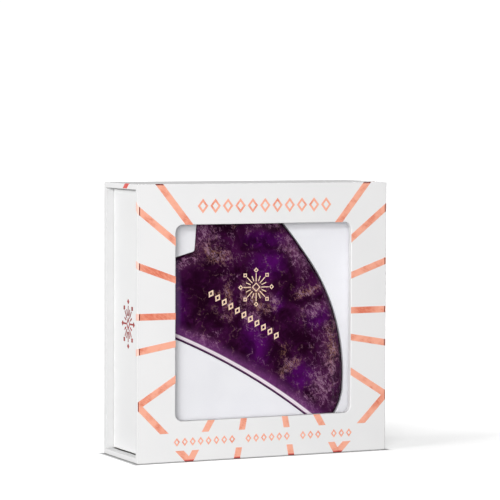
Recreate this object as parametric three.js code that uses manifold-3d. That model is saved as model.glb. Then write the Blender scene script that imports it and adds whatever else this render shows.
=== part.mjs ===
// A gua sha scraper in its presentation box: a windowed sleeve of paper-wrapped greyboard, open at
// both ends, a shallow tray that slides through it, a foam insert with a die-cut pocket, and the
// polished stone that lies in the pocket.
// Millimetres. +X is to the right seen from the window side, +Y to the back, +Z up. The origin is
// the middle of the sleeve's underside.
import * as THREE from "three";
import { mergeVertices } from "three/addons/utils/BufferGeometryUtils.js";
import Module from "manifold-3d";

const wasm = await Module();
wasm.setup();

// ---- Driving dimensions ----

const SLEEVE = { width: 100, depth: 32.5, height: 100 };
const BOARD = 1.75; // greyboard
const PAPER = 0.25; // wrapping paper with its glue
const WALL = BOARD + PAPER;

const WINDOW = { side: 71, corner: 3 };

const TRAY_RECESS = 3; // from the sleeve's open end to the tray's end
const TRAY_PLAY = 0.5; // between tray and sleeve, on each side

const INSERT_PLAY = 0.25; // between the foam and the tray's walls
const INSERT_BELOW_RIM = 6;
const POCKET = { depth: 5, play: 0.7 };

const STONE = { thickness: 6, proud: 1.25, rounding: 2.5 };
const STONE_LAYERS = 8; // steps round the stone's edge, from face to face
const CHORD_SAG = 0.03; // how far an outline's chords may leave their arcs

// The stone's outline rolls round these circles, counterclockwise seen from the front: X and Z of
// the middle, and the radius, which is negative for a hollow.
const STONE_CIRCLES = [
  { x: 27.65, z: 14.95, radius: 5 }, // lower tip
  { x: 17, z: 24.7, radius: 19.4 }, // shoulder above the tip
  { x: -35.75, z: 28.1, radius: 72.25 }, // long convex edge, lower part
  { x: -58, z: 19.9, radius: 94.9 }, // long convex edge, upper part
  { x: 0.3, z: 82.6, radius: 9.3 }, // upper lobe, right
  { x: -15.1, z: 83.6, radius: 8.25 }, // upper lobe, left
  { x: -25.3, z: 76.1, radius: -1.35 }, // notch between the lobes
  { x: -29.7, z: 61.8, radius: 11.3 }, // left lobe, top
  { x: -31.6, z: 53.3, radius: 8.84 }, // left lobe, bottom
  { x: -131.9, z: -192.9, radius: -257 }, // long concave scraping edge
];

// ---- Derived places ----

const sleeveOuter = {
  low: [-SLEEVE.width / 2, -SLEEVE.depth / 2, 0],
  high: [SLEEVE.width / 2, SLEEVE.depth / 2, SLEEVE.height],
};
const sleeveBoards = grown(sleeveOuter, -PAPER, -PAPER, -PAPER);
const sleeveInner = grown(sleeveOuter, 0, -WALL, -WALL);

const trayOuter = grown(sleeveInner, -TRAY_RECESS, -TRAY_PLAY, -TRAY_PLAY);
const trayBoards = grown(trayOuter, -PAPER, -PAPER, -PAPER);
const trayInner = grown(trayOuter, -WALL, -WALL, -WALL);

const insert = grown(trayInner, -INSERT_PLAY, 0, -INSERT_PLAY);
const insertFace = trayOuter.low[1] + INSERT_BELOW_RIM;
const pocketFloor = insertFace + POCKET.depth;
const stoneFace = insertFace - STONE.proud;
const windowMiddle = SLEEVE.height / 2;

// ---- Shapes ----

// A box of low and high corners, with each pair of sides moved outward by the given amounts.
function grown(box, x, y, z) {
  const by = [x, y, z];
  return {
    low: box.low.map((value, i) => value - by[i]),
    high: box.high.map((value, i) => value + by[i]),
  };
}

// The same box with some of its limits replaced, such as { y1: 5 } for its high Y.
function limited(box, { x0, x1, y0, y1, z0, z1 }) {
  return {
    low: [x0 ?? box.low[0], y0 ?? box.low[1], z0 ?? box.low[2]],
    high: [x1 ?? box.high[0], y1 ?? box.high[1], z1 ?? box.high[2]],
  };
}

function boxGeometry({ low, high }) {
  const size = high.map((value, i) => value - low[i]);
  const middle = high.map((value, i) => (value + low[i]) / 2);
  return new THREE.BoxGeometry(...size).translate(...middle);
}

// A flat panel drawn in X and Z and given its thickness along Y, from y0 back to y1.
function panelGeometry(shape, y0, y1) {
  const geometry = new THREE.ExtrudeGeometry(shape, { depth: y1 - y0, bevelEnabled: false });
  return geometry.rotateX(Math.PI / 2).translate(0, y1, 0);
}

function rectangle(x0, z0, x1, z1) {
  return [
    new THREE.Vector2(x0, z0),
    new THREE.Vector2(x1, z0),
    new THREE.Vector2(x1, z1),
    new THREE.Vector2(x0, z1),
  ];
}

// The points of an outline that rolls round circles in turn, counterclockwise, and crosses from
// one to the next on their common tangent. grow moves the whole outline outward.
function rolledOutline(circles, grow = 0) {
  const headings = circles.map((circle, i) => {
    const next = circles[(i + 1) % circles.length];
    const dx = next.x - circle.x;
    const dz = next.z - circle.z;
    const lean = (next.radius - circle.radius) / Math.hypot(dx, dz);
    return Math.atan2(dz, dx) - Math.asin(THREE.MathUtils.clamp(lean, -1, 1));
  });
  const points = [];
  circles.forEach((circle, i) => {
    const arriving = headings[(i + circles.length - 1) % circles.length];
    const turn = Math.atan2(Math.sin(headings[i] - arriving), Math.cos(headings[i] - arriving));
    const stepAngle = 2 * Math.acos(1 - CHORD_SAG / Math.abs(circle.radius));
    const steps = Math.max(1, Math.ceil(Math.abs(turn) / stepAngle));
    const radius = circle.radius + grow;
    for (let step = 0; step <= steps; step++) {
      const heading = arriving + (turn * step) / steps;
      points.push(
        new THREE.Vector2(
          circle.x + radius * Math.sin(heading),
          circle.z - radius * Math.cos(heading),
        ),
      );
    }
  });
  return points;
}

function windowOutline() {
  const reach = WINDOW.side / 2 - WINDOW.corner;
  const corners = [
    [-1, -1],
    [1, -1],
    [1, 1],
    [-1, 1],
  ];
  return rolledOutline(
    corners.map(([x, z]) => ({
      x: x * reach,
      z: windowMiddle + z * reach,
      radius: WINDOW.corner,
    })),
  );
}

function windowedPanelGeometry(panel) {
  const shape = new THREE.Shape(
    rectangle(panel.low[0], panel.low[2], panel.high[0], panel.high[2]),
  );
  shape.holes.push(new THREE.Path(windowOutline()));
  return panelGeometry(shape, panel.low[1], panel.high[1]);
}

// A plate with a rounded edge: rings of one outline, drawn in towards both faces, closed by caps.
function roundedPlateGeometry(circles, face, thickness, rounding, layers) {
  const rings = [];
  for (let layer = 0; layer <= layers; layer++) {
    const angle = Math.PI * (layer / layers - 0.5);
    const drawnIn = rounding * (1 - Math.cos(angle));
    const y = face + (thickness / 2) * (1 + Math.sin(angle));
    rings.push({ y, points: rolledOutline(circles, -drawnIn) });
  }
  const count = rings[0].points.length;
  const positions = rings.flatMap(({ y, points }) => points.flatMap((p) => [p.x, y, p.y]));
  const indices = [];
  for (let layer = 0; layer < layers; layer++) {
    for (let i = 0; i < count; i++) {
      const here = layer * count + i;
      const beside = layer * count + ((i + 1) % count);
      indices.push(here, here + count, beside, beside, here + count, beside + count);
    }
  }
  const back = layers * count;
  THREE.ShapeUtils.triangulateShape(rings[0].points, []).forEach(([a, b, c]) => {
    indices.push(a, b, c);
    indices.push(back + a, back + c, back + b);
  });
  const geometry = new THREE.BufferGeometry();
  geometry.setAttribute("position", new THREE.Float32BufferAttribute(positions, 3));
  geometry.setIndex(indices);
  return geometry;
}

// ---- Cutting ----

function solidOf(geometry) {
  const bare = geometry.clone();
  bare.deleteAttribute("normal");
  bare.deleteAttribute("uv");
  const merged = mergeVertices(bare);
  return new wasm.Manifold(
    new wasm.Mesh({
      numProp: 3,
      vertProperties: merged.attributes.position.array,
      triVerts: new Uint32Array(merged.index.array),
    }),
  );
}

function geometryOf(solid) {
  const { vertProperties, triVerts } = solid.getMesh();
  const geometry = new THREE.BufferGeometry();
  geometry.setAttribute("position", new THREE.BufferAttribute(vertProperties, 3));
  geometry.setIndex(new THREE.BufferAttribute(triVerts, 1));
  return geometry;
}

const boxSolid = (box) => solidOf(boxGeometry(box));

// ---- Materials ----

const finish = (color, roughness, metalness = 0) =>
  new THREE.MeshStandardMaterial({ color, roughness, metalness });

const PRINTED_PAPER = finish(0xf1f0f0, 0.55);
const WHITE_PAPER = finish(0xf7f7f7, 0.6);
const GREYBOARD = finish(0xa9a59c, 0.95);
const FOAM = finish(0xeeedf2, 0.9);
const AMETHYST = finish(0x3c1450, 0.08);

function piece(name, geometry, material) {
  geometry.computeVertexNormals();
  const mesh = new THREE.Mesh(geometry, material);
  mesh.name = name;
  return mesh;
}

// ---- Sleeve ----

// The sheet round the front, top and back, with its turn-in over the boards' edges at both ends.
function sleeveWrapGeometry() {
  const sheet = limited(sleeveOuter, { z0: PAPER });
  const boards = limited(sleeveBoards, { z0: -WALL });
  const bore = grown(sleeveInner, WALL, 0, 0);
  const windowCut = panelGeometry(
    new THREE.Shape(windowOutline()),
    sleeveOuter.low[1] - WALL,
    sleeveInner.low[1],
  );
  const skin = boxSolid(sheet)
    .subtract(boxSolid(boards))
    .subtract(boxSolid(bore))
    .subtract(solidOf(windowCut));
  return geometryOf(skin);
}

function makeSleeve() {
  const frontPanel = limited(sleeveBoards, { y1: sleeveInner.low[1] });
  const backPanel = limited(sleeveBoards, { y0: sleeveInner.high[1] });
  const between = limited(sleeveBoards, { y0: sleeveInner.low[1], y1: sleeveInner.high[1] });
  const topPanel = limited(between, { z0: sleeveInner.high[2] });
  const bottomPanel = limited(between, { z1: sleeveInner.low[2] });
  const flap = limited(sleeveOuter, { z1: PAPER });
  const sleeve = new THREE.Group();
  sleeve.add(
    piece("sleeve_front_board", windowedPanelGeometry(frontPanel), GREYBOARD),
    piece("sleeve_back_board", boxGeometry(backPanel), GREYBOARD),
    piece("sleeve_top_board", boxGeometry(topPanel), GREYBOARD),
    piece("sleeve_bottom_board", boxGeometry(bottomPanel), GREYBOARD),
    piece("sleeve_wrap", sleeveWrapGeometry(), PRINTED_PAPER),
    piece("sleeve_wrap_flap", boxGeometry(flap), PRINTED_PAPER),
  );
  return sleeve;
}

// ---- Tray and insert ----

// The paper over the tray's outside, turned over the rim of its four walls.
function trayWrapGeometry() {
  const mouth = limited(trayInner, { y0: trayOuter.low[1] - WALL, y1: trayOuter.low[1] + WALL });
  const skin = boxSolid(trayOuter).subtract(boxSolid(trayBoards)).subtract(boxSolid(mouth));
  return geometryOf(skin);
}

function makeTray() {
  const backPanel = limited(trayBoards, { y0: trayInner.high[1] });
  const walls = limited(trayBoards, { y1: trayInner.high[1] });
  const between = limited(walls, { x0: trayInner.low[0], x1: trayInner.high[0] });
  const tray = new THREE.Group();
  tray.add(
    piece("tray_back_board", boxGeometry(backPanel), GREYBOARD),
    piece("tray_left_board", boxGeometry(limited(walls, { x1: trayInner.low[0] })), GREYBOARD),
    piece("tray_right_board", boxGeometry(limited(walls, { x0: trayInner.high[0] })), GREYBOARD),
    piece("tray_top_board", boxGeometry(limited(between, { z0: trayInner.high[2] })), GREYBOARD),
    piece("tray_bottom_board", boxGeometry(limited(between, { z1: trayInner.low[2] })), GREYBOARD),
    piece("tray_wrap", trayWrapGeometry(), WHITE_PAPER),
  );
  return tray;
}

function makeInsert() {
  const { low, high } = insert;
  const dieCut = new THREE.Shape(rectangle(low[0], low[2], high[0], high[2]));
  dieCut.holes.push(new THREE.Path(rolledOutline(STONE_CIRCLES, POCKET.play)));
  const foam = new THREE.Group();
  foam.add(
    piece("insert_base", boxGeometry(limited(insert, { y0: pocketFloor })), FOAM),
    piece("insert_die_cut", panelGeometry(dieCut, insertFace, pocketFloor), FOAM),
  );
  return foam;
}

// ---- Stone ----

function makeStone() {
  const geometry = roundedPlateGeometry(
    STONE_CIRCLES,
    stoneFace,
    STONE.thickness,
    STONE.rounding,
    STONE_LAYERS,
  );
  return piece("gua_sha_stone", geometry, AMETHYST);
}

// ---- Assembly ----

const drawer = makeTray();
drawer.add(makeInsert(), makeStone());

const boxedScraper = new THREE.Group();
boxedScraper.add(makeSleeve(), drawer);

export default boxedScraper;
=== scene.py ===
# The looks of a boxed gua sha scraper: a wrapped and foiled sleeve, a white tray, a foam insert
# and the polished stone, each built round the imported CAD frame.
import math

import bmesh
import bpy
from mathutils import Matrix, Vector, geometry


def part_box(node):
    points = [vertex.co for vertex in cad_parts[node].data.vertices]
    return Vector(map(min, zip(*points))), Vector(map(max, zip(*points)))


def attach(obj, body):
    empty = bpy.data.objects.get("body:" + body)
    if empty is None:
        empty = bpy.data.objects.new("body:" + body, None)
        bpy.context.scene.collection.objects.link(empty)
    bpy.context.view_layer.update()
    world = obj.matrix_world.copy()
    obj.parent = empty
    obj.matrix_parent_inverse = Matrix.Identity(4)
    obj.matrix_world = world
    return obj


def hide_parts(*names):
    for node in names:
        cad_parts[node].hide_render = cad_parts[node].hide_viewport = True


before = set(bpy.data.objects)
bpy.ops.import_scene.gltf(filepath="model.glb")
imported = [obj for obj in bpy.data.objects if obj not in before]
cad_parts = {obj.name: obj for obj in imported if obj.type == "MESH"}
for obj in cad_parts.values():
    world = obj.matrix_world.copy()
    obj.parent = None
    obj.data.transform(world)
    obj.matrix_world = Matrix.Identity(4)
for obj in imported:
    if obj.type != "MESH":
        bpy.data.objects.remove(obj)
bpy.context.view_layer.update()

MM = 0.001  # sizes below are in millimetres, meshes in metres

# ---- Sizes that the frame doesn't state ----

WINDOW_SIDE = 71
WINDOW_CORNER = 3

SHEET = 0.14  # wrapping paper
PROUD = 0.15  # how far the paper stands above the boards where it is turned in
EDGE_RADIUS = 0.3  # the paper's bend over an outer edge
INNER_RADIUS = 0.3  # its bend into the bore, the window or the tray
TURN_IN = 2.5  # of the paper into the sleeve
BACK_TURN_IN = 3.6  # the same along the sleeve's back
WINDOW_TURN_IN = 8  # of the paper round the window, behind the front board
TRAY_TURN_IN = 2  # of the paper into the tray, behind the foam's face
BEND_STEPS = 5  # faces round each quarter turn
FLAP_INSET = 0.6  # how far the closing flap stays inside the sleeve's ends
FLAP_CORNER = 1.5
HAIR = 0.03  # a step too small to see

FOIL_HEIGHT = 0.035  # of the foil above its surface
FOIL_SUNK = 0.03  # and how far it reaches below

FOAM_EDGE = 0.18  # the rounding of the foam's cut edges
FOAM_CORNER = 1.2
POCKET_PLAY = 0.25  # the foam hugs the stone

STONE_ROUNDING = 2.5  # how far the rounding reaches in from the stone's outline
SCRAPING_BEVEL = 4.4  # the same along the long concave edge
BEVEL_BLEND = 3  # the one passes into the other over this much to each side
STONE_CROWN = 0.25  # how far a face would fall away by the corners of the stone's box
STONE_STEP = 0.5  # between the points round the stone's outline
STONE_LAYERS = 10  # from the outline's middle to one face
FACE_GRID = 2.5  # between the points inside the stone's faces

# The stone's outline rolls round these circles, counterclockwise seen from the front: X and Z of
# the middle, and the radius, which is negative for a hollow.
STONE_CIRCLES = [
    (27.65, 14.95, 5),  # lower tip
    (17, 24.7, 19.4),  # shoulder above the tip
    (-35.75, 28.1, 72.25),  # long convex edge, lower part
    (-58, 19.9, 94.9),  # long convex edge, upper part
    (0.3, 82.6, 9.3),  # upper lobe, right
    (-15.1, 83.6, 8.25),  # upper lobe, left
    (-25.3, 76.1, -1.35),  # notch between the lobes
    (-29.7, 61.8, 11.3),  # left lobe, top
    (-31.6, 53.3, 8.84),  # left lobe, bottom
    (-131.9, -192.9, -257),  # long concave scraping edge
]
SCRAPING_EDGE = 9


# ---- Places from the frame, in millimetres ----

def box_of(*nodes):
    """The low and high corners of a box round some nodes."""
    corners = [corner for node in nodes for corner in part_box(node)]
    low = Vector([min(corner[axis] for corner in corners) for axis in range(3)])
    high = Vector([max(corner[axis] for corner in corners) for axis in range(3)])
    return low / MM, high / MM


sleeve_low, sleeve_high = box_of("sleeve_wrap", "sleeve_wrap_flap")
bore_low = Vector((
    sleeve_low.x,
    box_of("sleeve_front_board")[1].y,
    box_of("sleeve_bottom_board")[1].z,
))
bore_high = Vector((
    sleeve_high.x,
    box_of("sleeve_back_board")[0].y,
    box_of("sleeve_top_board")[0].z,
))
tray_low, tray_high = box_of("tray_wrap")
die_cut_low, die_cut_high = box_of("insert_die_cut")
base_low, base_high = box_of("insert_base")
stone_low, stone_high = box_of("gua_sha_stone")

SLEEVE_WIDTH = sleeve_high.x - sleeve_low.x
SLEEVE_HEIGHT = sleeve_high.z - sleeve_low.z
WALL = bore_low.y - sleeve_low.y
stone_middle = (stone_low + stone_high) / 2
stone_half = (stone_high - stone_low) / 2
window_middle = SLEEVE_HEIGHT / 2


# ---- Mesh helpers ----

def to_object(mesh_name, bm, material, body, replaces=(), smooth=True):
    """Turns a bmesh in millimetres into a finished piece of the object."""
    bmesh.ops.scale(bm, vec=Vector((MM, MM, MM)), verts=bm.verts)
    mesh = bpy.data.meshes.new(mesh_name)
    bm.to_mesh(mesh)
    bm.free()
    piece = bpy.data.objects.new(mesh_name, mesh)
    bpy.context.scene.collection.objects.link(piece)
    mesh.materials.append(material)
    if smooth:
        mesh.shade_smooth()
    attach(piece, body)
    if replaces:
        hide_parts(*replaces)
    return piece


def thicken(piece, thickness):
    """Gives an open skin its thickness, behind the surface that was drawn."""
    solidify = piece.modifiers.new("thickness", "SOLIDIFY")
    solidify.thickness = thickness * MM
    solidify.offset = -1
    solidify.use_even_offset = True


def weighted_normals(piece):
    """Keeps the flats flat where a small bend is smooth."""
    normals = piece.modifiers.new("normals", "WEIGHTED_NORMAL")
    normals.keep_sharp = True


def loft(bm, rings):
    """Joins closed rings of equally many points with quads, and returns the rings' vertices."""
    rows = [[bm.verts.new(point) for point in ring] for ring in rings]
    for row, following in zip(rows, rows[1:]):
        for i in range(len(row)):
            j = (i + 1) % len(row)
            bm.faces.new((row[i], row[j], following[j], following[i]))
    return rows


def fill(bm, rows, facing):
    """A flat face inside a row of vertices, less the holes that other rows make in it."""
    corners = [vertex for row in rows for vertex in row]
    for triangle in geometry.tessellate_polygon([[v.co for v in row] for row in rows]):
        face = bm.faces.new([corners[i] for i in triangle])
        face.normal_update()
        if face.normal.dot(facing) < 0:
            face.normal_flip()


def arc(middle, radius, start, end, steps=BEND_STEPS):
    """Points (a, b) on an arc, with its angles in degrees from +a towards +b."""
    points = []
    for step in range(steps + 1):
        angle = math.radians(start + (end - start) * step / steps)
        points.append((middle[0] + radius * math.cos(angle), middle[1] + radius * math.sin(angle)))
    return points


def rounded_rectangle(low, high, radius, steps=BEND_STEPS):
    """Counterclockwise points (a, b) of a rectangle with round corners."""
    left, right = low[0] + radius, high[0] - radius
    bottom, top = low[1] + radius, high[1] - radius
    return (
        arc((right, bottom), radius, -90, 0, steps)
        + arc((right, top), radius, 0, 90, steps)
        + arc((left, top), radius, 90, 180, steps)
        + arc((left, bottom), radius, 180, 270, steps)
    )


def rolled_outline(circles, step=STONE_STEP):
    """Points (x, z), outward normals and circle numbers of an outline that rolls round circles."""
    headings = []
    for (x, z, radius), (next_x, next_z, next_radius) in zip(circles, circles[1:] + circles[:1]):
        dx, dz = next_x - x, next_z - z
        lean = (next_radius - radius) / math.hypot(dx, dz)
        headings.append(math.atan2(dz, dx) - math.asin(max(-1, min(1, lean))))
    raw = []
    for number, (x, z, radius) in enumerate(circles):
        arriving = headings[number - 1]
        turn = math.remainder(headings[number] - arriving, 2 * math.pi)
        count = max(4, round(abs(turn * radius) / step * 4))
        for i in range(count + 1):
            heading = arriving + turn * i / count
            normal = Vector((math.sin(heading), -math.cos(heading)))
            raw.append((Vector((x, z)) + radius * normal, normal, number))
    return evenly_spaced(raw, step)


def evenly_spaced(raw, step):
    """Resamples a closed outline of (point, normal, number) at equal steps along it."""
    closed = raw + raw[:1]
    lengths = [0]
    for (here, _, _), (there, _, _) in zip(closed, closed[1:]):
        lengths.append(lengths[-1] + (there - here).length)
    count = round(lengths[-1] / step)
    outline = []
    segment = 0
    for i in range(count):
        along = lengths[-1] * i / count
        while lengths[segment + 1] < along:
            segment += 1
        span = lengths[segment + 1] - lengths[segment]
        share = (along - lengths[segment]) / span if span else 0
        (p, n, number), (q, m, _) = closed[segment], closed[segment + 1]
        outline.append((p.lerp(q, share), n.lerp(m, share).normalized(), number))
    return outline


def window_outline(outward, steps=8):
    """The window's outline in (x, z), moved outward from the paper's edge."""
    reach = WINDOW_SIDE / 2 - PROUD + outward
    low = (-reach, window_middle - reach)
    high = (reach, window_middle + reach)
    return rounded_rectangle(low, high, WINDOW_CORNER - PROUD + outward, steps)


# ---- Material helpers ----

class Shader:
    """A principled material whose colour, roughness and bump are built up from nodes."""

    def __init__(self, name, colour, roughness, metallic=0.0, specular=0.5):
        self.material = bpy.data.materials.new(name)
        self.material.use_nodes = True
        self.nodes = self.material.node_tree.nodes
        self.links = self.material.node_tree.links
        self.surface = self.nodes["Principled BSDF"]
        self.set("Base Color", (*colour, 1))
        self.set("Roughness", roughness)
        self.set("Metallic", metallic)
        self.set("Specular IOR Level", specular)
        self.material.diffuse_color = (*colour, 1)
        self.place = self.nodes.new("ShaderNodeTexCoord").outputs["Object"]

    def set(self, socket, value):
        self.surface.inputs[socket].default_value = value

    def feed(self, value, socket):
        self.links.new(value, self.surface.inputs[socket])

    def put(self, socket, value):
        """Links a value to a socket, or sets the socket to a plain number or colour."""
        if isinstance(value, bpy.types.NodeSocket):
            self.links.new(value, socket)
        else:
            socket.default_value = value

    def scaled(self, stretch, turn=0.0, offset=(0, 0, 0)):
        """Coordinates in steps of stretch millimetres from offset, turned about Y."""
        mapping = self.nodes.new("ShaderNodeMapping")
        mapping.vector_type = "TEXTURE"
        mapping.inputs["Scale"].default_value = [MM * s for s in stretch]
        mapping.inputs["Location"].default_value = [MM * o for o in offset]
        mapping.inputs["Rotation"].default_value = (0, math.radians(turn), 0)
        self.links.new(self.place, mapping.inputs["Vector"])
        return mapping.outputs["Vector"]

    def noise(self, size, detail=2.0, roughness=0.5, distortion=0.0, turn=0.0, offset=(0, 0, 0)):
        """Noise whose features are about size millimetres, one number or three."""
        stretch = size if isinstance(size, tuple) else (size, size, size)
        node = self.nodes.new("ShaderNodeTexNoise")
        node.inputs["Scale"].default_value = 1
        node.inputs["Detail"].default_value = detail
        node.inputs["Roughness"].default_value = roughness
        node.inputs["Distortion"].default_value = distortion
        self.links.new(self.scaled(stretch, turn, offset=offset), node.inputs["Vector"])
        return node.outputs["Fac"]

    def cells(self, size, feature="F1", turn=0.0, warp=None):
        """Distances in a pattern of cells about size millimetres across, one number or three."""
        node = self.nodes.new("ShaderNodeTexVoronoi")
        node.feature = feature
        node.inputs["Scale"].default_value = 1
        stretch = size if isinstance(size, tuple) else (size, size, size)
        vector = self.scaled(stretch, turn)
        if warp is not None:
            vector = self.vector("ADD", vector, warp)
        self.links.new(vector, node.inputs["Vector"])
        return node.outputs["Distance"]

    def warp(self, size, amount, detail=3.0):
        """A colourful noise centred on zero, to bend other coordinates with."""
        node = self.nodes.new("ShaderNodeTexNoise")
        node.inputs["Scale"].default_value = 1
        node.inputs["Detail"].default_value = detail
        self.links.new(self.scaled((size, size, size)), node.inputs["Vector"])
        centred = self.vector("SUBTRACT", node.outputs["Color"], (0.5, 0.5, 0.5))
        scale = self.nodes.new("ShaderNodeVectorMath")
        scale.operation = "SCALE"
        self.links.new(centred, scale.inputs[0])
        scale.inputs["Scale"].default_value = amount
        return scale.outputs["Vector"]

    def length(self, vector):
        node = self.nodes.new("ShaderNodeVectorMath")
        node.operation = "LENGTH"
        self.links.new(vector, node.inputs[0])
        return node.outputs["Value"]

    def vector(self, operation, a, b):
        node = self.nodes.new("ShaderNodeVectorMath")
        node.operation = operation
        self.put(node.inputs[0], a)
        self.put(node.inputs[1], b)
        return node.outputs["Vector"]

    def maths(self, operation, a, b=0.0):
        node = self.nodes.new("ShaderNodeMath")
        node.operation = operation
        self.put(node.inputs[0], a)
        self.put(node.inputs[1], b)
        return node.outputs["Value"]

    def ramp(self, value, start, end, low=0.0, high=1.0):
        """A smooth step of value from start to end, between low and high."""
        node = self.nodes.new("ShaderNodeMapRange")
        node.interpolation_type = "SMOOTHSTEP"
        self.put(node.inputs["Value"], value)
        node.inputs["From Min"].default_value = start
        node.inputs["From Max"].default_value = end
        node.inputs["To Min"].default_value = low
        node.inputs["To Max"].default_value = high
        return node.outputs["Result"]

    def mix(self, share, a, b):
        """Colour a where share is 0, and b where it is 1."""
        node = self.nodes.new("ShaderNodeMix")
        node.data_type = "RGBA"
        colours = [socket for socket in node.inputs if socket.type == "RGBA"]
        self.put(node.inputs["Factor"], share)
        for socket, colour in zip(colours, (a, b)):
            self.put(socket, colour if isinstance(colour, bpy.types.NodeSocket) else (*colour, 1))
        return next(socket for socket in node.outputs if socket.type == "RGBA")

    def bump(self, value, depth, strength=1.0):
        """Relief of depth millimetres from a value of 0 to 1, over any relief already there."""
        node = self.nodes.new("ShaderNodeBump")
        node.inputs["Strength"].default_value = strength
        node.inputs["Distance"].default_value = depth * MM
        self.links.new(value, node.inputs["Height"])
        normal = self.surface.inputs["Normal"]
        if normal.is_linked:
            self.links.new(normal.links[0].from_socket, node.inputs["Normal"])
        self.links.new(node.outputs["Normal"], normal)


def paper(name, colour, shade, roughness):
    """Coated wrapping paper: faint fibres and clouds, and a satin surface."""
    shader = Shader(name, colour, roughness, specular=0.4)
    fibres = shader.noise((0.35, 0.35, 0.12), detail=4, roughness=0.6)
    clouds = shader.noise(18, detail=3)
    tone = shader.maths("MULTIPLY", shader.ramp(clouds, 0.3, 0.75), 0.6)
    shader.feed(shader.mix(tone, colour, shade), "Base Color")
    shader.feed(shader.ramp(fibres, 0.3, 0.7, roughness - 0.06, roughness + 0.08), "Roughness")
    shader.bump(shader.noise(9, detail=2), 0.02, 0.35)
    shader.bump(fibres, 0.008, 0.5)
    return shader.material


def greyboard():
    """Recycled board: mixed grey and brown fibres with dark and pale flecks."""
    shader = Shader("greyboard", (0.4, 0.38, 0.34), 0.95, specular=0.2)
    fibres = shader.noise((1.6, 0.3, 0.3), detail=5, roughness=0.7, turn=8)
    colour = shader.mix(shader.ramp(fibres, 0.3, 0.7), (0.25, 0.235, 0.205), (0.4, 0.38, 0.345))
    flecks = shader.cells((0.9, 0.4, 0.4), warp=shader.warp(0.6, 0.8))
    colour = shader.mix(shader.ramp(flecks, 0.2, 0.12, 0, 0.7), colour, (0.14, 0.12, 0.1))
    shader.feed(colour, "Base Color")
    shader.bump(fibres, 0.05, 0.7)
    return shader.material


def foam():
    """Fine closed-cell foam, slightly cool in tone."""
    shader = Shader("foam", (0.87, 0.87, 0.9), 0.85, specular=0.25)
    pores = shader.cells(0.28)
    clouds = shader.noise(14, detail=3)
    colour = shader.mix(shader.ramp(clouds, 0.3, 0.7), (0.85, 0.85, 0.885), (0.88, 0.88, 0.91))
    colour = shader.mix(shader.ramp(pores, 0.35, 0.1, 0, 0.18), colour, (0.66, 0.66, 0.72))
    shader.feed(colour, "Base Color")
    shader.bump(pores, 0.03, 0.5)
    shader.bump(clouds, 0.08, 0.3)
    return shader.material


def foil(name, colour, shade, roughness):
    """Hot-stamped foil: a drawn grain, worn clouds and a few places of hatching darkened as a painted
    dark reflection.
    """
    shader = Shader(name, colour, roughness, metallic=0.02)
    grain = shader.noise((2.4, 0.12, 0.12), detail=3, turn=28)
    worn = shader.noise(4.5, detail=3, roughness=0.6)
    clouds = shader.maths("MULTIPLY", shader.ramp(worn, 0.42, 0.75), shader.ramp(grain, 0.3, 0.6))
    hatching = shader.noise((1.8, 0.45, 0.45), detail=4, roughness=0.7, turn=35)
    strokes = shader.ramp(hatching, 0.38, 0.58, 0.45, 1)
    # darker hatching in the given places: a painted dark reflection over a hatched texture
    hatched_dark_reflection = shader.maths("MULTIPLY", strokes, patches(shader, HATCHED_DARK_REFLECTION_PLACES))
    tone = shader.maths("MAXIMUM", clouds, hatched_dark_reflection)
    shader.feed(shader.mix(tone, colour, shade), "Base Color")
    shader.feed(shader.ramp(grain, 0.25, 0.75, roughness - 0.08, roughness + 0.12), "Roughness")
    shader.bump(grain, 0.006, 0.4)
    return shader.material


# Soft patches of a pattern: X and Z of the middle, half width and half height, and turn in degrees.
# darker hatched places on some rays: a hatched texture and a painted dark reflection
HATCHED_DARK_REFLECTION_PLACES = [
    (-42, 68.5, 9, 5, 0),
    (-43, 52.7, 9, 4, 0),
    (-20, 3, 5, 3, 0),
    (45, 19, 4, 3, 0),
    (41, 52.7, 5, 3, 0),
]

# The same for the stone.
MAUVE_AND_REFLECTION_PATCHES = [
    # these two by the notch are a painted reflection; the other patches are the stone's own mauve
    (-22, 80, 5, 8, -15),
    (-28, 71, 7, 2, 15),
    (3, 84.5, 6, 2.5, 0),
    (15, 74, 3.5, 9, 35),
    # this tall strip by the window's left edge is a painted reflection of the window's wall
    (-37, 56, 2.5, 22, 0),
    (-21, 43, 7, 3, -32),
    (-2, 51, 4, 3, 0),
    (30, 36, 4, 12, 5),
    (24, 53, 7, 3, 15),
    (27, 24, 5, 9, 20),
    (20, 17, 7, 4, -35),
    (6, 57, 4, 2, 0),
]
BROWN_PATCHES = [
    (-17, 74, 8, 4, -20),
    (-11, 57, 2.5, 9, 5),
    (-1, 59, 6, 5, 0),
    (-17, 60, 4, 2, -20),
    (20, 59, 8, 2, 18),
    (11, 38, 3, 6, -30),
    (14, 32, 7, 2, 30),
    (31, 40, 3, 9, 0),
    (3, 54, 5, 3, 0),
]
VIOLET_PATCHES = [
    (5, 70, 7, 5, 0),
    (3, 79, 8, 3, 0),
    (0, 42, 5, 9, 15),
    (9, 56, 2.5, 4, -25),
    (25, 50, 5, 4, 0),
    (18, 28, 6, 5, 0),
    (-33, 55, 5, 10, 0),
]
# a pale strip by the window's left edge: a painted reflection of the window's wall
WINDOW_REFLECTION_PATCHES = [
    (-33, 58, 2.4, 18, 0),
]
DARK_PATCHES = [
    (-22, 62, 7, 9, 0),
    (-23, 51, 8, 6, -20),
    (12, 62, 5, 7, 0),
    (12, 48, 4, 8, 0),
    (-8, 42, 6, 5, -30),
    (0, 78, 7, 3, 0),
    (7, 37, 4, 4, 0),
]


RIGHT_THROUGH = 1000  # a stretch along Y that makes a pattern the same at every depth


def patches(shader, places):
    """The largest of several ellipses in X and Z, each full in its middle and soft round its edge."""
    total = None
    for x, z, half_width, half_height, turn in places:
        stretch = (half_width, RIGHT_THROUGH, half_height)
        out = shader.length(shader.scaled(stretch, -turn, offset=(x, 0, z)))
        spot = shader.ramp(out, 1.5, 0.25)
        total = spot if total is None else shader.maths("MAXIMUM", total, spot)
    return total


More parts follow.
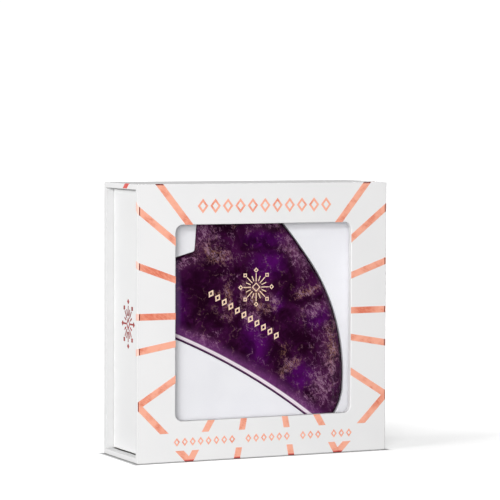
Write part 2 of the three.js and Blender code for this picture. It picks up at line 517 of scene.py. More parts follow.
def amethyst():
    """Polished amethyst: clouded purple with crystalline mottling, flecks and iron-stained patches,
    with a painted glow and a painted highlight along the scraping edge and painted reflections by
    the notch and the window's left edge.
    """
    shader = Shader("amethyst", (0.045, 0.006, 0.04), 0.07, specular=0.3)
    clouds = shader.noise(8, detail=6, roughness=0.62, distortion=0.6)
    mottle = shader.noise(3.2, detail=8, roughness=0.7, distortion=0.8, offset=(40, 0, 7))
    grit = shader.noise((0.6, 0.6, 1.0), detail=6, roughness=0.85, distortion=1.2, turn=20)
    feathers = shader.noise((0.42, 0.42, 1.9), detail=5, roughness=0.7, distortion=1.0, turn=-38)
    mauve_and_reflection = patches(shader, MAUVE_AND_REFLECTION_PATCHES)
    brown = patches(shader, BROWN_PATCHES)
    dark = patches(shader, DARK_PATCHES)

    def times(a, b):
        return shader.maths("MULTIPLY", a, b)

    def over(colour, where, strength, tint):
        return shader.mix(times(where, strength), colour, tint)

    colour = shader.mix(
        shader.ramp(clouds, 0.38, 0.66), (0.0145, 0.0002, 0.0098), (0.048, 0.0038, 0.043)
    )
    violet = times(patches(shader, VIOLET_PATCHES), shader.ramp(clouds, 0.32, 0.6, 0.3, 1))
    colour = over(colour, violet, 0.8, (0.088, 0.002, 0.128))
    colour = over(colour, times(dark, shader.ramp(mottle, 0.62, 0.4)), 0.85, (0.0125, 0.0002, 0.009))
    colour = over(colour, mauve_and_reflection, 0.16, (0.15, 0.045, 0.12))
    # a painted reflection of the window's wall on the stone's left side
    colour = over(colour, patches(shader, WINDOW_REFLECTION_PATCHES), 0.5, (0.2, 0.13, 0.26))

    zones = shader.maths("SUBTRACT", shader.maths("MAXIMUM", times(mauve_and_reflection, 0.85), brown), dark)
    density = shader.maths("ADD", times(zones, 0.11), times(mottle, 0.6))
    crystal = shader.maths("ADD", density, times(grit, 0.6))
    tint = shader.mix(times(brown, 0.85), (0.15, 0.045, 0.115), (0.15, 0.062, 0.042))
    colour = over(colour, shader.ramp(crystal, 0.665, 0.765), 0.7, tint)
    bright = shader.maths("ADD", density, times(feathers, 0.6))
    colour = over(colour, shader.ramp(bright, 0.71, 0.79), 0.8, (0.34, 0.19, 0.29))

    wavy = shader.warp(1.5, 1.3, 6)
    needles = shader.cells((2.2, 2.2, 4.6), "DISTANCE_TO_EDGE", turn=-30, warp=wavy)
    needle = times(shader.ramp(needles, 0.06, 0.0), shader.ramp(density, 0.28, 0.4))
    colour = over(colour, needle, 0.65, shader.mix(brown, (0.33, 0.15, 0.28), (0.3, 0.14, 0.085)))

    seams = shader.cells(11, "DISTANCE_TO_EDGE", warp=shader.warp(5, 1.3, 6))
    seam = times(shader.ramp(seams, 0.03, 0.0), shader.ramp(mottle, 0.46, 0.62))
    colour = over(colour, seam, 0.4, (0.26, 0.14, 0.12))

    x, z, radius = STONE_CIRCLES[SCRAPING_EDGE]
    away = shader.length(shader.scaled((1, RIGHT_THROUGH, 1), offset=(x, 0, z)))
    from_edge = shader.maths("ADD", away, radius)
    # a paler mauve band along the scraping edge: painted light through the thin edge and a painted
    # sheen on its bevel
    thin = times(shader.ramp(from_edge, 6.5, 1.5), shader.ramp(mottle, 0.3, 0.55, 0.5, 1))
    colour = over(colour, thin, 0.65, (0.2, 0.05, 0.21))
    # a pale pink band just inside the scraping edge: a painted highlight
    rim = times(shader.ramp(from_edge, 0.4, 0.7), shader.ramp(from_edge, 1.8, 1.4))
    colour = over(colour, rim, 0.95, (0.97, 0.86, 0.93))
    shader.feed(colour, "Base Color")
    shader.feed(shader.ramp(mottle, 0.3, 0.8, 0.05, 0.12), "Roughness")
    return shader.material


# The sleeve's paper is drawn darker inside and on its bends as painted shade, where narrow strips
# catch more light than the front. One coral foil is painted dark along a fold and red on a rim as
# a painted dark reflection, and pale on a bend as a painted highlight.
PRINTED_PAPER = paper("printed paper", (0.87, 0.865, 0.865), (0.84, 0.838, 0.842), 0.5)
SHADED_INNER_PAPER = paper("paper in the sleeve with painted shade", (0.64, 0.64, 0.64), (0.61, 0.61, 0.61), 0.6)
SHADED_BEND_PAPER = paper("paper on a bend with painted shade", (0.7, 0.7, 0.7), (0.67, 0.67, 0.67), 0.6)
WHITE_PAPER = paper("white paper", (0.9, 0.9, 0.9), (0.875, 0.875, 0.88), 0.55)
GREYBOARD = greyboard()
FOAM = foam()
CORAL_FOIL = foil("coral foil", (1.0, 0.465, 0.33), (0.78, 0.195, 0.115), 0.45)
FOLD_DARK_REFLECTION_FOIL = foil("foil with a painted dark reflection at a fold", (0.26, 0.04, 0.03), (0.12, 0.015, 0.012), 0.5)
SIDE_BEND_HIGHLIGHT_FOIL = foil("foil with a painted highlight on a bend", (1.0, 0.66, 0.56), (0.95, 0.55, 0.45), 0.5)
RIM_DARK_REFLECTION_FOIL = foil("red foil with a painted dark reflection", (0.85, 0.17, 0.15), (0.5, 0.05, 0.05), 0.5)
SIDE_FOIL = foil("side foil", (0.46, 0.035, 0.03), (0.25, 0.02, 0.015), 0.5)
PALE_GOLD = foil("pale gold", (0.97, 0.72, 0.53), (0.84, 0.56, 0.38), 0.42)
AMETHYST = amethyst()


# ---- Sleeve ----

FRONT = Vector((0, -1, 0))
BACK = Vector((0, 1, 0))


def folded_edge(turn_in):
    """The paper's path over a wall's edge, as (distance from the edge, depth below the outside)."""
    inner = WALL + PROUD
    inside = arc((INNER_RADIUS, inner - INNER_RADIUS), INNER_RADIUS, 90, 180)
    outside = arc((EDGE_RADIUS, EDGE_RADIUS), EDGE_RADIUS, 180, 270)
    return [(turn_in, inner)] + inside + outside


def sleeve_ring(x, inset):
    """The sleeve's section at x, drawn in from its outside by inset."""
    low = (sleeve_low.y + inset, sleeve_low.z + SHEET + inset)
    high = (sleeve_high.y - inset, sleeve_high.z - inset)
    radius = max(EDGE_RADIUS - inset, HAIR)
    return [(x, y, z) for y, z in rounded_rectangle(low, high, radius)]


def window_rings():
    """The paper's path from the front, over the window's edge and back behind the board."""
    inner = WALL + PROUD
    path = arc((INNER_RADIUS, INNER_RADIUS), INNER_RADIUS, 270, 180)
    path += arc((INNER_RADIUS, inner - INNER_RADIUS), INNER_RADIUS, 180, 90)
    path.append((WINDOW_TURN_IN, inner))
    return [
        [(x, sleeve_low.y + depth, z) for x, z in window_outline(outward)]
        for outward, depth in path
    ]


def paper_of(face):
    """Which of the wrap's papers a face shows: 0 outside, 1 in the bore and 2 on an end's bend, both
    painted darker as shade.
    """
    x, y, z = face.calc_center_median()
    across = bore_low.y - INNER_RADIUS < y < bore_high.y + INNER_RADIUS
    up = bore_low.z - INNER_RADIUS < z < bore_high.z + INNER_RADIUS
    if across and up:
        return 1
    from_end = min(x - sleeve_low.x, sleeve_high.x - x)
    return 2 if HAIR < from_end < EDGE_RADIUS else 0


def make_sleeve_wrap():
    """The sheet round the boards, turned in at both ends and round the window."""
    bm = bmesh.new()
    edge = folded_edge(TURN_IN)
    left = [sleeve_ring(sleeve_low.x + along, inset) for along, inset in edge]
    right = [sleeve_ring(sleeve_high.x - along, inset) for along, inset in reversed(edge)]
    for ring, inward in ((left[0], 1), (right[-1], -1)):
        further = inward * (BACK_TURN_IN - TURN_IN)
        back = max(y for _, y, _ in ring) - HAIR / 2
        ring[:] = [(x + further if y > back else x, y, z) for x, y, z in ring]
    rows = loft(bm, left + right)
    for face in bm.faces:
        face.material_index = paper_of(face)
    here = rows[len(left) - 1]
    there = rows[len(left)]
    top = 3 * (BEND_STEPS + 1) - 1  # a ring's third corner ends at the top of the front
    bottom = top + 1
    frame_corners = (here[top], here[bottom], there[bottom], there[top])
    bm.faces.remove(bm.faces.get(frame_corners))
    lip = loft(bm, window_rings())[0]
    fill(bm, [list(frame_corners), lip], FRONT)
    wrap = to_object(
        "sleeve_paper", bm, PRINTED_PAPER, "sleeve", ("sleeve_wrap",)
    )
    # the darker papers in the bore and on the ends' bends are painted shade
    wrap.data.materials.append(SHADED_INNER_PAPER)
    wrap.data.materials.append(SHADED_BEND_PAPER)
    thicken(wrap, SHEET)
    weighted_normals(wrap)


def make_sleeve_flap():
    """The sheet's closing flap, glued under the bottom."""
    bm = bmesh.new()
    low = (sleeve_low.x + FLAP_INSET, sleeve_low.y + FLAP_INSET)
    high = (sleeve_high.x - FLAP_INSET, sleeve_high.y - 2 * FLAP_INSET)
    rings = []
    for inset, z in ((HAIR, 0), (0, HAIR), (0, SHEET)):
        outline = rounded_rectangle((low[0] + inset, low[1] + inset),
                                    (high[0] - inset, high[1] - inset), FLAP_CORNER - inset)
        rings.append([(x, y, sleeve_low.z + z) for x, y in outline])
    rows = loft(bm, rings)
    bm.faces.new(rows[0])
    bm.faces.new(rows[-1])
    bmesh.ops.recalc_face_normals(bm, faces=bm.faces)
    flap = to_object(
        "sleeve_paper_flap", bm, PRINTED_PAPER, "sleeve", ("sleeve_wrap_flap",)
    )
    weighted_normals(flap)


# ---- Tray ----

def tray_ring(y, inset):
    """The tray's section at y, drawn in from its outside by inset."""
    low = (tray_low.x + inset, tray_low.z + inset)
    high = (tray_high.x - inset, tray_high.z - inset)
    radius = max(EDGE_RADIUS - inset, HAIR)
    return [(x, y, z) for x, z in rounded_rectangle(low, high, radius)]


def make_tray_wrap():
    """The sheet over the tray's back and sides, turned in over its rim."""
    bm = bmesh.new()
    back = arc((EDGE_RADIUS, EDGE_RADIUS), EDGE_RADIUS, 180, 270)
    rings = [tray_ring(tray_high.y - along, inset) for along, inset in back]
    front = reversed(folded_edge(die_cut_low.y - tray_low.y + TRAY_TURN_IN))
    rings += [tray_ring(tray_low.y + along, inset) for along, inset in front]
    rows = loft(bm, rings)
    fill(bm, [rows[0]], BACK)
    wrap = to_object("tray_paper", bm, WHITE_PAPER, "tray", ("tray_wrap",))
    thicken(wrap, SHEET)
    weighted_normals(wrap)


# ---- Foam insert ----

def foam_layer(name, node, low, high, hole=None):
    """A slab of foam with eased front edges, and the stone's pocket cut through it."""
    bm = bmesh.new()
    path = arc((FOAM_EDGE, FOAM_EDGE), FOAM_EDGE, 270, 180)
    path.append((0, high.y - low.y - HAIR))
    outside = []
    for inset, depth in path:
        corners = rounded_rectangle(
            (low.x + inset, low.z + inset), (high.x - inset, high.z - inset), FOAM_CORNER - inset
        )
        outside.append([(x, low.y + depth, z) for x, z in corners])
    outer = loft(bm, outside)
    fronts, backs = [outer[0]], [outer[-1]]
    if hole:
        inside = []
        for outward, depth in path:
            grow = POCKET_PLAY + outward
            inside.append([(p.x + n.x * grow, low.y + depth, p.y + n.y * grow) for p, n, _ in hole])
        inner = loft(bm, inside)
        fronts.append(inner[0])
        backs.append(inner[-1])
    fill(bm, fronts, FRONT)
    fill(bm, backs, BACK)
    bmesh.ops.recalc_face_normals(bm, faces=bm.faces)
    layer = to_object(name, bm, FOAM, "tray", (node,))
    layer.visible_glossy = False  # the stone doesn't mirror its pocket
    weighted_normals(layer)


# ---- Stone ----

def crown(x, z):
    """How far the stone's faces fall away from their middle."""
    across = (x - stone_middle.x) / stone_half.x
    up = (z - stone_middle.z) / stone_half.z
    return STONE_CROWN * (across * across + up * up) / 2


def bevel_widths(outline):
    """The rounding's reach at each point of the outline: wide along the scraping edge."""
    widths = [
        SCRAPING_BEVEL if number == SCRAPING_EDGE else STONE_ROUNDING for _, _, number in outline
    ]
    reach = round(BEVEL_BLEND / STONE_STEP)
    count = len(widths)
    smooth = []
    for i in range(count):
        near = [widths[(i + k) % count] for k in range(-reach, reach + 1)]
        smooth.append(sum(near) / len(near))
    return smooth


def stone_ring(outline, widths, angle):
    """One ring round the stone, from angle -90 at its front face to 90 at its back."""
    drawn_in = 1 - math.cos(angle)
    side = math.sin(angle)
    ring = []
    for (point, normal, _), width in zip(outline, widths):
        x, z = point - normal * (width * drawn_in)
        half_depth = stone_half.y - crown(x, z) * abs(side)
        ring.append((x, stone_middle.y + half_depth * side, z))
    return ring


def inside_points(loop, spacing, margin):
    """A grid of (x, z) points inside a loop, at least margin away from its corners."""
    low = Vector((min(p.x for p in loop), min(p.y for p in loop)))
    high = Vector((max(p.x for p in loop), max(p.y for p in loop)))
    points = []
    for i in range(1, int((high.x - low.x) / spacing) + 1):
        for j in range(1, int((high.y - low.y) / spacing) + 1):
            point = low + Vector((i, j)) * spacing
            crossings = 0
            near = False
            for a, b in zip(loop, loop[1:] + loop[:1]):
                near = near or (point - a).length < margin
                if (a.y > point.y) != (b.y > point.y):
                    x = a.x + (b.x - a.x) * (point.y - a.y) / (b.y - a.y)
                    crossings += x > point.x
            if crossings % 2 and not near:
                points.append(point)
    return points


def stone_face(bm, ring, side):
    """A finely divided crowned face inside a ring: side is -1 at the front and 1 at the back."""
    loop = [Vector((vertex.co.x, vertex.co.z)) for vertex in ring]
    inner = inside_points(loop, FACE_GRID, FACE_GRID * 0.6)
    edges = [(i, (i + 1) % len(loop)) for i in range(len(loop))]
    points, _, faces, origins, _, _ = geometry.delaunay_2d_cdt(loop + inner, edges, [], 1, 1e-6)
    vertices = []
    for point, origin in zip(points, origins):
        if origin and origin[0] < len(loop):
            vertices.append(ring[origin[0]])
        else:
            y = stone_middle.y + side * (stone_half.y - crown(point.x, point.y))
            vertices.append(bm.verts.new((point.x, y, point.y)))
    for corners in faces:
        bm.faces.new([vertices[i] for i in corners])


def make_stone():
    """Rings round the stone's edge, closed by its two crowned faces."""
    bm = bmesh.new()
    outline = rolled_outline(STONE_CIRCLES)
    widths = bevel_widths(outline)
    angles = [
        math.pi / 2 * layer / STONE_LAYERS for layer in range(-STONE_LAYERS, STONE_LAYERS + 1)
    ]
    rows = loft(bm, [stone_ring(outline, widths, angle) for angle in angles])
    stone_face(bm, rows[0], -1)
    stone_face(bm, rows[-1], 1)
    bmesh.ops.recalc_face_normals(bm, faces=bm.faces)
    to_object("polished_stone", bm, AMETHYST, "stone", ("gua_sha_stone",))


# ---- Foil ----
# Foil is drawn flat and then laid on its surface by one of the functions below, which take a
# flat point and a height above the surface.

def fold(distance, radius):
    """Where a flat sheet goes at a distance from a fold, negative past it.

    Returns how far it lies from the fold, how deep behind the first face, and its turn."""
    if distance >= radius:
        return distance, 0.0, 0.0
    if distance <= -radius:
        return 0.0, -distance, math.pi / 2
    turn = math.pi / 2 * (radius - distance) / (2 * radius)
    return radius * (1 - math.sin(turn)), radius * (1 - math.cos(turn)), turn


def on_sleeve(u, v, height):
    """u runs right from the front's left edge and v down from its top edge. Negative v is on the
    top, and a u beyond the front's width is on an end's rim."""
    upper = v < SLEEVE_HEIGHT / 2
    along, behind, turn = fold(v if upper else SLEEVE_HEIGHT - v, EDGE_RADIUS)
    up = 1 if upper else -1
    z = sleeve_high.z - along if upper else sleeve_low.z + along
    normal = Vector((0, -math.cos(turn), up * math.sin(turn)))
    side = -1 if u < SLEEVE_WIDTH / 2 else 1
    across, sunk, lean = fold(u if side < 0 else SLEEVE_WIDTH - u, EDGE_RADIUS)
    x = side * (SLEEVE_WIDTH / 2 - across)
    facing = normal * math.cos(lean) + Vector((side * math.sin(lean), 0, 0))
    return Vector((x, sleeve_low.y + behind, z)) - normal * sunk + facing * height


def on_tray_end(u, v, height):
    """u runs forward from the middle of the tray's left end, and v up from the box's underside."""
    return Vector((tray_low.x - height, -u, v))


def on_stone(x, z, height):
    """x and z are the frame's own."""
    return Vector((x, stone_low.y + crown(x, z) - height, z))


def stroke(points, width, closed=False):
    """Quads of a line of the given width, mitred at its corners."""
    points = [Vector(point) for point in points]
    count = len(points)
    sides = []
    for i, point in enumerate(points):
        before = points[i - 1] if closed or i else None
        after = points[(i + 1) % count] if closed or i < count - 1 else None
        arriving = (point - before).normalized() if before is not None else None
        leaving = (after - point).normalized() if after is not None else None
        arriving = arriving or leaving
        leaving = leaving or arriving
        across = (arriving + leaving).normalized().orthogonal()
        across *= width / 2 / across.dot(leaving.orthogonal())
        sides.append((point - across, point + across))
    ends = sides[1:] + sides[:1] if closed else sides[1:]
    return [(a, c, d, b) for (a, b), (c, d) in zip(sides, ends)]


SAME_POINT = 1e-4


def flat_mesh(quads):
    """A flat mesh of quads in (u, v), joined where they share corners."""
    flat = bmesh.new()
    for quad in quads:
        flat.faces.new([flat.verts.new((*point, 0)) for point in quad])
    bmesh.ops.remove_doubles(flat, verts=flat.verts, dist=SAME_POINT)
    return flat


def cut(flat, axis, value, keep=0):
    """Cuts a flat mesh along u or v; keep is -1 or 1 to keep only the part below or above."""
    normal = Vector((1, 0, 0)) if axis == "u" else Vector((0, 1, 0))
    bmesh.ops.bisect_plane(
        flat,
        geom=flat.verts[:] + flat.edges[:] + flat.faces[:],
        plane_co=normal * value,
        plane_no=normal,
        clear_inner=keep > 0,
        clear_outer=keep < 0,
    )


def lay(bm, flat, place):
    """Adds a flat mesh to bm as a closed thin sheet on the surface that place stands for."""
    top = {v: bm.verts.new(place(v.co.x, v.co.y, FOIL_HEIGHT)) for v in flat.verts}
    under = {v: bm.verts.new(place(v.co.x, v.co.y, -FOIL_SUNK)) for v in flat.verts}
    for face in flat.faces:
        for corners in ([top[v] for v in face.verts], [under[v] for v in reversed(face.verts)]):
            bm.faces.new(corners).material_index = face.material_index
    for edge in flat.edges:
        if len(edge.link_faces) == 1:
            a, b = edge.verts
            bm.faces.new((top[a], top[b], under[b], under[a]))
    flat.free()


def finish_foil(name, bm, material, body):
    """Turns laid foil into a piece with flat faces."""
    bmesh.ops.recalc_face_normals(bm, faces=bm.faces)
    return to_object(name, bm, material, body, smooth=False)


RAY_WIDTH = 2.4
RIM_REACH = 1.75  # of the foil over the sleeve's rims
FOLD_BAND = 0.8  # how far from a fold the foil carries its painted dark reflection and painted highlight
CHEVRON_TOP = 70  # rays below this end in the fold, and the others go on over the rim
BAND_TOP = 89.5  # the rays leave a band free above the bottom edge
BAND_BOTTOM = 95.9
WINDOW_NEAR = (SLEEVE_WIDTH - WINDOW_SIDE) / 2 + PROUD
WINDOW_FAR = SLEEVE_HEIGHT - WINDOW_NEAR
BENDS = [EDGE_RADIUS * step / 2 for step in range(-2, 3)] + [FOLD_BAND / 2, FOLD_BAND]

# Each ray's middle line in the left half, from the sleeve's top left corner, and what it is cut to:
# an axis, a place, and -1 or 1 to keep what is below or above that place. The second is the piece
# of the first that shows on the end's rim.
RAYS = [
    ([(22.32, 17.5), (4.4, -4.7)], [("v", WINDOW_NEAR, -1), ("v", -EDGE_RADIUS, 1)]),
    ([(2, -7.7), (-6.3, -17.97)], [("u", EDGE_RADIUS, -1)]),
    ([(-4, 5.93), (18, 23.38)], [("u", WINDOW_NEAR, -1)]),
    ([(-4, 27.67), (18, 35.56)], [("u", WINDOW_NEAR, -1)]),
    ([(-4, 47.29), (18, 47.36)], [("u", WINDOW_NEAR, -1)]),
    ([(-4, 60.49), (18, 56.7)], [("u", WINDOW_NEAR, -1)]),
    (
        [(18, 67.93), (0, 79.1), (13, 92.2)],
        [("u", WINDOW_NEAR, -1), ("v", BAND_TOP, -1), ("u", 0, 1)],
    ),
    ([(12, 91.6), (20.2, 100), (26, 90.1)], [("v", BAND_BOTTOM, 1), ("v", SLEEVE_HEIGHT, -1)]),
    ([(30.4, 82.6), (24, 93.5)], [("v", WINDOW_FAR, 1), ("v", BAND_TOP, -1)]),
    ([(42.2, 82.9), (40.4, 92.5)], [("v", WINDOW_FAR, 1), ("v", BAND_TOP, -1)]),
    ([(40.2, 93.6), (38.7, 101.6)], [("v", BAND_BOTTOM, 1), ("v", SLEEVE_HEIGHT, -1)]),
]


def foil_of(face):
    """Which foil a ray's face shows: 0 coral, 1 dark with a painted dark reflection, 2 pale with a
    painted highlight and 3 red with a painted dark reflection.
    """
    u, v, _ = face.calc_center_median()
    from_side = min(u, SLEEVE_WIDTH - u)
    # dark along the fold: a painted dark reflection
    if v > CHEVRON_TOP:
        dark_fold = from_side < FOLD_BAND / 2
    else:
        dark_fold = FOLD_BAND / 2 < from_side < FOLD_BAND
    if dark_fold or min(abs(v), SLEEVE_HEIGHT - v) < FOLD_BAND / 2:
        return 1
    # deeper red on the top and along the bottom edge: a painted dark reflection
    if v < 0 or v > SLEEVE_HEIGHT - FOLD_BAND:
        return 3
    # pale on the side bends: a painted highlight
    return 2 if from_side < FOLD_BAND / 2 else 0


def flat_ray(middle, cuts, mirrored):
    """One ray, cut to its length, and divided so that it can bend over the folds."""
    line = [(SLEEVE_WIDTH - u, v) if mirrored else (u, v) for u, v in middle]
    flat = flat_mesh(stroke(line, RAY_WIDTH))
    for axis, value, keep in cuts:
        flip = mirrored and axis == "u"
        cut(flat, axis, SLEEVE_WIDTH - value if flip else value, -keep if flip else keep)
    cut(flat, "u", -RIM_REACH, 1)
    cut(flat, "u", SLEEVE_WIDTH + RIM_REACH, -1)
    for bend in BENDS:
        for axis, size in (("u", SLEEVE_WIDTH), ("v", SLEEVE_HEIGHT)):
            cut(flat, axis, bend)
            cut(flat, axis, size - bend)
    for face in flat.faces:
        face.material_index = foil_of(face)
    return flat


def make_rays():
    """The rays round the window, the same on its left and right."""
    bm = bmesh.new()
    for middle, cuts in RAYS:
        for mirrored in (False, True):
            lay(bm, flat_ray(middle, cuts, mirrored), on_sleeve)
    rays = finish_foil("sleeve_foil_rays", bm, CORAL_FOIL, "sleeve")
    for other in (FOLD_DARK_REFLECTION_FOIL, SIDE_BEND_HIGHLIGHT_FOIL, RIM_DARK_REFLECTION_FOIL):
        rays.data.materials.append(other)


def lozenge(middle, width, height, turn=0.0):
    """The four corners of a lozenge, turned by an angle in degrees."""
    rotation = Matrix.Rotation(math.radians(turn), 2)
    corners = [(width / 2, 0), (0, height / 2), (-width / 2, 0), (0, -height / 2)]
    return [Vector(middle) + rotation @ Vector(corner) for corner in corners]


SPOKES = 16
HUB = 0.42  # the sunburst's parts, as shares of its half width and half height
TIP = 0.2
TIP_PLACE = 0.88
LONG_SPOKE = (0.3, 0.72)
SHORT_SPOKE = (0.34, 0.62)


def sunburst(middle, half_width, half_height, width):
    """A burst of thin lines with small lozenges on every other one, round a central lozenge."""
    middle = Vector(middle)
    quads = stroke(lozenge(middle, half_width * HUB, half_height * HUB), width, closed=True)
    for i in range(SPOKES):
        turn = 2 * math.pi * i / SPOKES
        direction = Vector((math.cos(turn) * half_width, math.sin(turn) * half_height))
        ends = SHORT_SPOKE if i % 2 else LONG_SPOKE
        quads += stroke([middle + direction * end for end in ends], width)
        if not i % 2:
            size = half_width * TIP
            tip = lozenge(middle + direction * TIP_PLACE, size, size, math.degrees(turn))
            quads += stroke(tip, width, closed=True)
    return quads


def lozenge_row(bm, middles, size, width, place, turn=0.0):
    """Lays an outlined lozenge at each of the middles."""
    for middle in middles:
        lay(bm, flat_mesh(stroke(lozenge(middle, *size, turn), width, closed=True)), place)


ROW_COUNT = 11  # lozenges in the row over the window, and in the one on the stone
TOP_PITCH = 4.95
TOP_ROW = 8  # down from the sleeve's top
BOTTOM_GROUPS = (8, 6, 3, 3)
BOTTOM_START = 15.2
BOTTOM_PITCH = 3.12
BOTTOM_GAP = 3.4  # more than the pitch, between two groups
BOTTOM_ROW = 92.75


def make_ornaments():
    """A row of outlined lozenges over the window, and four groups of small ones under it."""
    bm = bmesh.new()
    first = SLEEVE_WIDTH / 2 - (ROW_COUNT - 1) / 2 * TOP_PITCH
    middles = [(first + i * TOP_PITCH, TOP_ROW) for i in range(ROW_COUNT)]
    lozenge_row(bm, middles, (3.2, 4.1), 0.75, on_sleeve)
    u = BOTTOM_START
    for group in BOTTOM_GROUPS:
        middles = [(u + i * BOTTOM_PITCH, BOTTOM_ROW) for i in range(group)]
        lozenge_row(bm, middles, (1.75, 2.3), 0.5, on_sleeve)
        u += group * BOTTOM_PITCH + BOTTOM_GAP
    finish_foil("sleeve_foil_ornaments", bm, CORAL_FOIL, "sleeve")


def make_tray_mark():
    """A tall sunburst on the tray's left end, a little under its middle."""
    bm = bmesh.new()
    middle = (0, (tray_low.z + tray_high.z) / 2 - 1)
    lay(bm, flat_mesh(sunburst(middle, 5.9, 9.2, 0.6)), on_tray_end)
    finish_foil("tray_foil_mark", bm, SIDE_FOIL, "tray")


STONE_MARK = (-0.1, 61.7)
STONE_ROW_START = Vector((-18.2, 59.8))
STONE_ROW_END = Vector((8.2, 43.6))


def make_stone_mark():
    """The gilded sunburst, and a slanting row of lozenges under it."""
    bm = bmesh.new()
    lay(bm, flat_mesh(sunburst(STONE_MARK, 7.1, 7.1, 0.34)), on_stone)
    along = STONE_ROW_END - STONE_ROW_START
    middles = [STONE_ROW_START + along * (i / (ROW_COUNT - 1)) for i in range(ROW_COUNT)]
    slant = math.degrees(math.atan2(along.y, along.x))
    lozenge_row(bm, middles, (1.7, 2.4), 0.5, on_stone, slant)
    finish_foil("stone_gilding", bm, PALE_GOLD, "stone")


# ---- Everything in its place ----

make_sleeve_wrap()
make_sleeve_flap()
make_tray_wrap()
foam_layer(
    "foam_die_cut", "insert_die_cut", die_cut_low, die_cut_high, rolled_outline(STONE_CIRCLES)
)
foam_layer("foam_base", "insert_base", base_low, base_high)
make_stone()
make_rays()
make_ornaments()
make_tray_mark()
make_stone_mark()

for name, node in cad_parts.items():
    if name.endswith("_board"):
        for holder in node.material_slots:
            holder.material = GREYBOARD


# ---- Floor, light and camera ----

def staged(name, corners, material):
    """A flat face that belongs to the stage and not to the object."""
    mesh = bpy.data.meshes.new(name)
    mesh.from_pydata(corners, [], [tuple(range(len(corners)))])
    mesh.materials.append(material)
    stage = bpy.data.objects.new(name, mesh)
    bpy.context.scene.collection.objects.link(stage)
    return stage


CONTACT_SHADOW = 3  # a painted shadow: the dark line on the floor round the box's foot, in millimetres


def white_floor():
    """White, glowing faintly round the box and more further away, where the lights don't reach, with a
    painted shadow round the box's foot.
    """
    shader = Shader("floor", (0.85, 0.85, 0.85), 1.0, specular=0.0)
    shader.set("Emission Color", (1, 1, 1, 1))
    glow = shader.ramp(shader.length(shader.place), 0.05, 0.24, 0.5, 1.1)
    place = shader.nodes.new("ShaderNodeSeparateXYZ")
    shader.links.new(shader.place, place.inputs["Vector"])
    beside = []
    for axis, half in (("X", sleeve_high.x), ("Y", sleeve_high.y)):
        distance = shader.maths("ABSOLUTE", place.outputs[axis])
        beside.append(shader.maths("SUBTRACT", distance, half * MM))
    # the floor loses its glow and turns grey by the box's foot: a painted contact shadow
    outside_painted_shadow = shader.ramp(shader.maths("MAXIMUM", *beside), 0, CONTACT_SHADOW * MM)
    shader.feed(shader.maths("MULTIPLY", glow, outside_painted_shadow), "Emission Strength")
    shader.feed(shader.mix(outside_painted_shadow, (0.4, 0.4, 0.4), (0.85, 0.85, 0.85)), "Base Color")
    return shader.material


FLOOR_REACH = 30  # metres
FLOOR_CORNERS = [
    (-FLOOR_REACH, -FLOOR_REACH, 0),
    (FLOOR_REACH, -FLOOR_REACH, 0),
    (FLOOR_REACH, FLOOR_REACH, 0),
    (-FLOOR_REACH, FLOOR_REACH, 0),
]
floor = staged("floor", FLOOR_CORNERS, white_floor())
floor.visible_diffuse = False
floor.visible_glossy = False

AMBIENT = 0.22  # how bright the world lights the object,
REFLECTED = 0.05  # shows in its reflections,
SEEN = 1.05  # and shows behind it


def studio_world():
    """A white world, with its own strength for each kind of ray."""
    world = bpy.data.worlds.new("studio")
    world.use_nodes = True
    nodes = world.node_tree.nodes
    links = world.node_tree.links

    def background(strength, node=None):
        node = node or nodes.new("ShaderNodeBackground")
        node.inputs["Color"].default_value = (1, 1, 1, 1)
        node.inputs["Strength"].default_value = strength
        return node.outputs["Background"]

    ray = nodes.new("ShaderNodeLightPath")
    light = background(AMBIENT, nodes["Background"])
    for kind, strength in (("Is Glossy Ray", REFLECTED), ("Is Camera Ray", SEEN)):
        either = nodes.new("ShaderNodeMixShader")
        links.new(ray.outputs[kind], either.inputs["Fac"])
        links.new(light, either.inputs[1])
        links.new(background(strength), either.inputs[2])
        light = either.outputs["Shader"]
    links.new(light, nodes["World Output"].inputs["Surface"])
    return world


bpy.context.scene.world = studio_world()


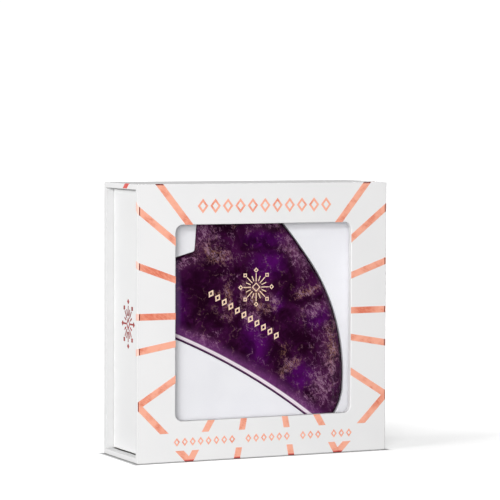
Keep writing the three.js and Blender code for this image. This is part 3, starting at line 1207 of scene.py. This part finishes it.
def soft_light(name, azimuth, elevation, distance, size, power, gleam=True, on=(), spared=()):
    """A soft light aimed at the box, azimuth degrees left of its front; size is width and height.

    It shines only on some pieces, or on all but the spared ones, where they are given, and it is
    mirrored only where gleam is set."""
    turn = math.radians(azimuth)
    rise = math.radians(elevation)
    away = Vector((
        -math.sin(turn) * math.cos(rise),
        -math.cos(turn) * math.cos(rise),
        math.sin(rise),
    ))
    lamp = bpy.data.lights.new(name, "AREA")
    lamp.shape = "RECTANGLE"
    lamp.size = size[0]
    lamp.size_y = size[1]
    lamp.energy = power
    light = bpy.data.objects.new(name, lamp)
    bpy.context.scene.collection.objects.link(light)
    light.visible_glossy = gleam
    light.location = Vector((0, 0, window_middle * MM)) + away * distance
    light.rotation_euler = away.to_track_quat("Z", "Y").to_euler()
    if on or spared:
        group = bpy.data.collections.new(name + " receivers")
        for piece in on or spared:
            group.objects.link(bpy.data.objects[piece])
        for held in group.collection_objects:
            held.light_linking.link_state = "INCLUDE" if on else "EXCLUDE"
        light.light_linking.receiver_collection = group


TRAY_END = ["tray_paper", "tray_foil_mark"]
IN_THE_GAPS = ["sleeve_top_board", "sleeve_bottom_board"]
soft_light("front light", 27, 5, 1.3, (0.4, 0.3), 9.2, False, spared=TRAY_END + IN_THE_GAPS)
soft_light("window light", 36, 16, 1.3, (0.36, 0.1), 5.2, False, spared=TRAY_END + IN_THE_GAPS)
soft_light("side light", 84, 12, 0.9, (0.5, 0.5), 3.3, spared=TRAY_END + IN_THE_GAPS)
soft_light("tray light", 84, 10, 0.9, (0.5, 0.5), 6.6, on=TRAY_END + ["floor"])
soft_light("tray front light", 0, 5, 1.3, (0.4, 0.3), 11, False, on=TRAY_END)
soft_light("top light", 160, 72, 1.3, (0.5, 0.5), 6.1, spared=["floor"] + IN_THE_GAPS)
soft_light("back light", 225, 2, 1.3, (0.6, 0.6), 11, spared=["floor"] + IN_THE_GAPS)

CAMERA_PLACE = (-0.3908, -0.835, 0.1256)  # metres
CAMERA_YAW = -25.17  # degrees, and negative to the right
CAMERA_DIP = 3.15
CAMERA_ROLL = 0.21

camera = bpy.data.cameras.new("camera")
camera.lens = 180
camera.sensor_width = 36
camera.clip_end = 100
viewpoint = bpy.data.objects.new("camera", camera)
bpy.context.scene.collection.objects.link(viewpoint)
viewpoint.matrix_world = (
    Matrix.Translation(CAMERA_PLACE)
    @ Matrix.Rotation(math.radians(CAMERA_YAW), 4, "Z")
    @ Matrix.Rotation(math.radians(90 - CAMERA_DIP), 4, "X")
    @ Matrix.Rotation(math.radians(CAMERA_ROLL), 4, "Z")
)
bpy.context.scene.camera = viewpoint
bpy.context.scene.view_settings.view_transform = "Standard"
